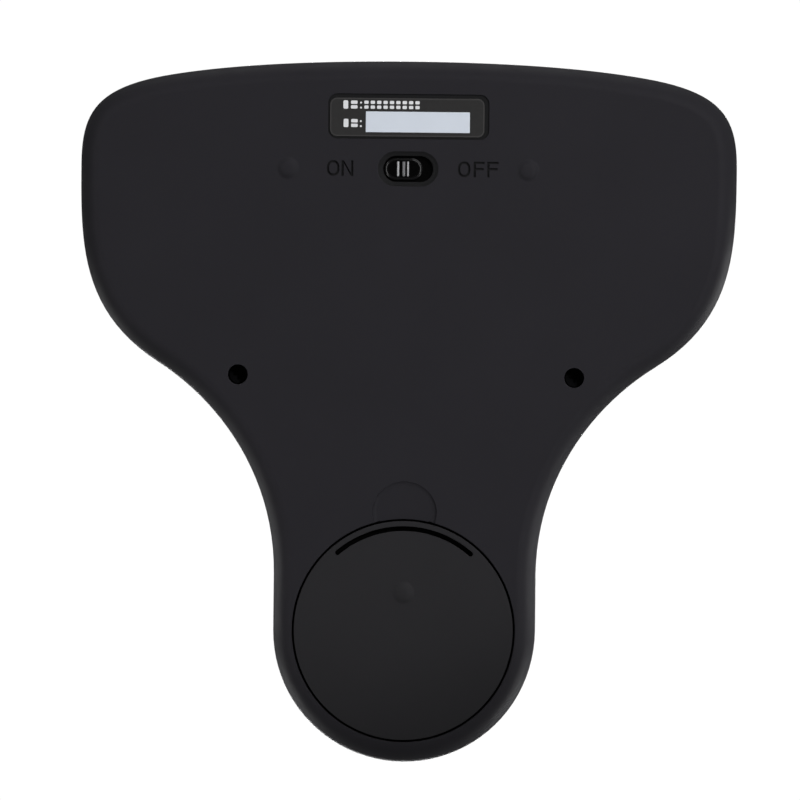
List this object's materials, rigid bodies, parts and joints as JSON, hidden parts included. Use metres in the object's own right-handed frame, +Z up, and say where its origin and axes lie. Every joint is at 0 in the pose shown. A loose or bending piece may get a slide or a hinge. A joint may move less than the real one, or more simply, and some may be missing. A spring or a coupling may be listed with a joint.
{
  "type": "digital bathroom scale",
  "caption": "T-shaped battery-powered display and control unit of a digital bathroom scale, with a display window, push buttons, a power slide switch and a round battery cover.",
  "frame": {"origin": "on the surface that the unit stands on, at the level of its rest domes' tips, under the middle of its bounding box", "axes": "+Z up out of the display face, +Y towards the wide head, +X to the right as the display is read"},
  "size_m": [0.1638, 0.175, 0.026],
  "materials": {
    "case_black": "soft-touch matte black ABS with a fine moulded grain",
    "foam_grey": "closed-cell foam",
    "window_black": "back-printed glossy acrylic, dark grey over the display",
    "gasket_black": "black foam tape",
    "lcd_glass": "clear liquid-crystal cell",
    "polarizer_dark": "smoke polarising film",
    "backlight_white": "white light guide",
    "frame_black": "black moulded plastic",
    "elastomer_pink": "layered conductive elastomer",
    "board_green": "solder-masked circuit board",
    "chip_black": "black moulded package",
    "shield_steel": "tinned steel",
    "crystal_steel": "drawn metal can",
    "capacitor_blue": "sleeved aluminium can",
    "chip_ceramic": "chip resistors and capacitors",
    "screw_zinc": "zinc-plated steel",
    "screw_black": "black-oxide steel",
    "board_tan": "phenolic board",
    "knob_black": "glossy black",
    "button_black": "satin black keycap",
    "plunger_black": "black nylon",
    "cell_sleeve": "printed battery sleeve with a bright steel end",
    "contact_nickel": "nickel-plated spring steel",
    "wire_red": "red PVC insulation",
    "wire_black": "black PVC insulation",
    "wire_orange": "orange PVC insulation",
    "label_grey": "glossy dark grey film",
    "sticker_white": "blank white paper"
  },
  "bodies": {
    "case": {"rear_cover": "case_black", "front_cover": "case_black", "display_window": "window_black", "window_gasket": "gasket_black", "lcd_glass": "lcd_glass", "lcd_polarizer": "polarizer_dark", "lcd_backlight": "backlight_white", "lcd_frame": "frame_black", "zebra_strips": "elastomer_pink", "main_board": "board_green", "microcontroller": "chip_black", "radio_module": "shield_steel", "crystal": "crystal_steel", "smoothing_capacitor": "capacitor_blue", "chip_parts": "chip_ceramic", "tact_switches": "frame_black", "board_screws": "screw_zinc", "case_screws": "screw_black", "power_switch_board": "board_tan", "power_switch_housing": "shield_steel", "switch_board_screws": "screw_zinc", "battery_upper": "cell_sleeve", "battery_lower": "cell_sleeve", "contact_positive": "contact_nickel", "contact_negative": "contact_nickel", "contact_bridge": "contact_nickel", "battery_wire_red": "wire_red", "battery_wire_black": "wire_black", "switch_wires": "wire_orange", "rating_label": "label_grey", "serial_sticker": "sticker_white"},
    "battery_cover": {"battery_cover": "case_black", "battery_foam_pad": "foam_grey"},
    "power_knob": {"power_knob": "knob_black", "power_switch_lever": "frame_black"},
    "main_button": {"main_button": "button_black", "main_plunger": "plunger_black"},
    "up_button": {"up_button": "button_black", "up_plunger": "plunger_black"},
    "down_button": {"down_button": "button_black", "down_plunger": "plunger_black"}
  },
  "joints": [
    {"name": "battery_cover_hinge", "type": "hinge", "parent": "case", "child": "battery_cover", "pos_m": [0, -0.0818, 0.0008], "axis": [-1, 0, 0], "range_deg": [0, 60]},
    {"name": "power_slide", "type": "slide", "parent": "case", "child": "power_knob", "axis": [-1, 0, 0], "range_m": [0, 0.0023]},
    {"name": "main_button_press", "type": "slide", "parent": "case", "child": "main_button", "axis": [0, 0, -1], "range_m": [0, 0.0005], "stiffness_N_per_m": 1500},
    {"name": "up_button_press", "type": "slide", "parent": "case", "child": "up_button", "axis": [0, 0, -1], "range_m": [0, 0.0005], "stiffness_N_per_m": 1500},
    {"name": "down_button_press", "type": "slide", "parent": "case", "child": "down_button", "axis": [0, 0, -1], "range_m": [0, 0.0005], "stiffness_N_per_m": 1500}
  ]
}
